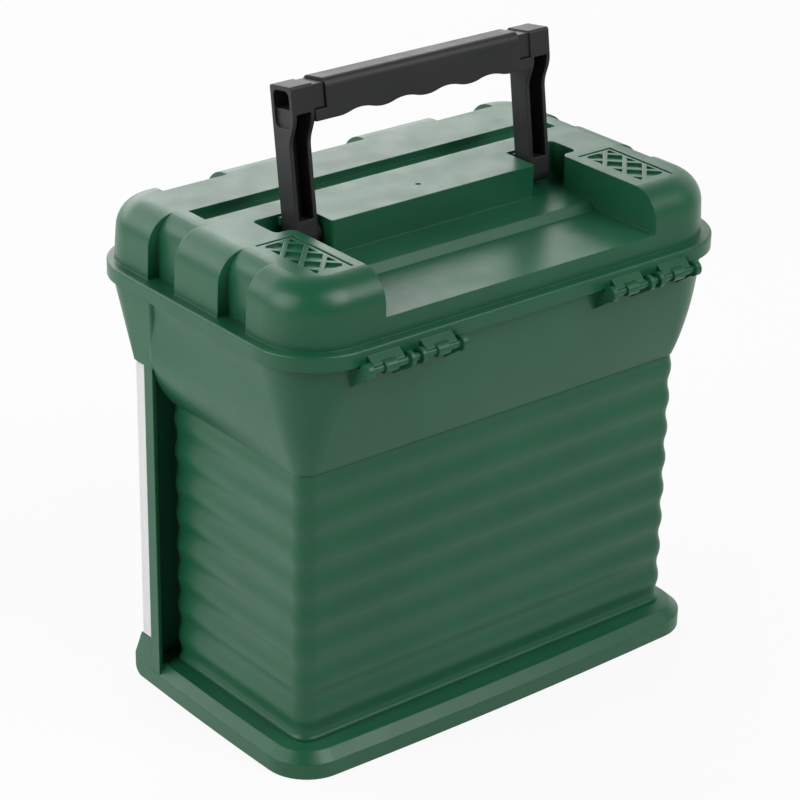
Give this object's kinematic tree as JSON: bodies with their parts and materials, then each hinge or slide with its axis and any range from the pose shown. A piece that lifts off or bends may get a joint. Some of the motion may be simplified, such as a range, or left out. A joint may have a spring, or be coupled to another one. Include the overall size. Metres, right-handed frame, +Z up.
{
  "type": "tackle box",
  "caption": "Upright rack tackle box with a corrugated case, flared top tub, hinged fluted lid, folding handle, clear drop-down door and stacked clear trays.",
  "frame": {"origin": "underside of the plinth, below the middle of the lid", "axes": "+X along the length, +Y towards the lid hinges, +Z up"},
  "size_m": [0.27, 0.1918, 0.3151],
  "materials": {
    "green_plastic": "semi-matte moulded",
    "black_plastic": "fine grained",
    "clear_plastic": "clear moulded plastic"
  },
  "bodies": {
    "case": {"base": "green_plastic", "lower_case": "green_plastic", "upper_tub": "green_plastic", "hinge_pin_left": "green_plastic", "hinge_pin_right": "green_plastic", "door_pin_left": "green_plastic", "door_pin_right": "green_plastic", "tray_1": "clear_plastic", "tray_lid_1": "clear_plastic", "tray_dividers_1": "clear_plastic", "tray_clips_1": "clear_plastic", "tray_2": "clear_plastic", "tray_lid_2": "clear_plastic", "tray_dividers_2": "clear_plastic", "tray_clips_2": "clear_plastic", "tray_3": "clear_plastic", "tray_lid_3": "clear_plastic", "tray_dividers_3": "clear_plastic", "tray_clips_3": "clear_plastic", "tray_4": "clear_plastic", "tray_lid_4": "clear_plastic", "tray_dividers_4": "clear_plastic", "tray_clips_4": "clear_plastic"},
    "lid": {"lid": "green_plastic", "latch_pin_left": "black_plastic", "latch_pin_right": "black_plastic"},
    "handle": {"handle_frame": "black_plastic", "handle_grip": "black_plastic"},
    "latch_left": {"lid_latch_left": "black_plastic"},
    "latch_right": {"lid_latch_right": "black_plastic"},
    "door": {"front_door": "clear_plastic"}
  },
  "joints": [
    {"name": "lid_hinge", "type": "hinge", "parent": "case", "child": "lid", "pos_m": [0, 0.091, 0.2118], "axis": [-1, 0, 0], "range_deg": [0, 100]},
    {"name": "handle_fold", "type": "hinge", "parent": "lid", "child": "handle", "pos_m": [0, 0.0044, 0.242], "axis": [-1, 0, 0], "range_deg": [0, 98]},
    {"name": "latch_left_swing", "type": "hinge", "parent": "lid", "child": "latch_left", "pos_m": [-0.072, -0.0912, 0.2174], "axis": [-1, 0, 0], "range_deg": [0, 110]},
    {"name": "latch_right_swing", "type": "hinge", "parent": "lid", "child": "latch_right", "pos_m": [0.072, -0.0912, 0.2174], "axis": [-1, 0, 0], "range_deg": [0, 110]},
    {"name": "door_hinge", "type": "hinge", "parent": "case", "child": "door", "pos_m": [0, -0.049, 0.0226], "axis": [1, 0, 0], "range_deg": [0, 90]}
  ]
}
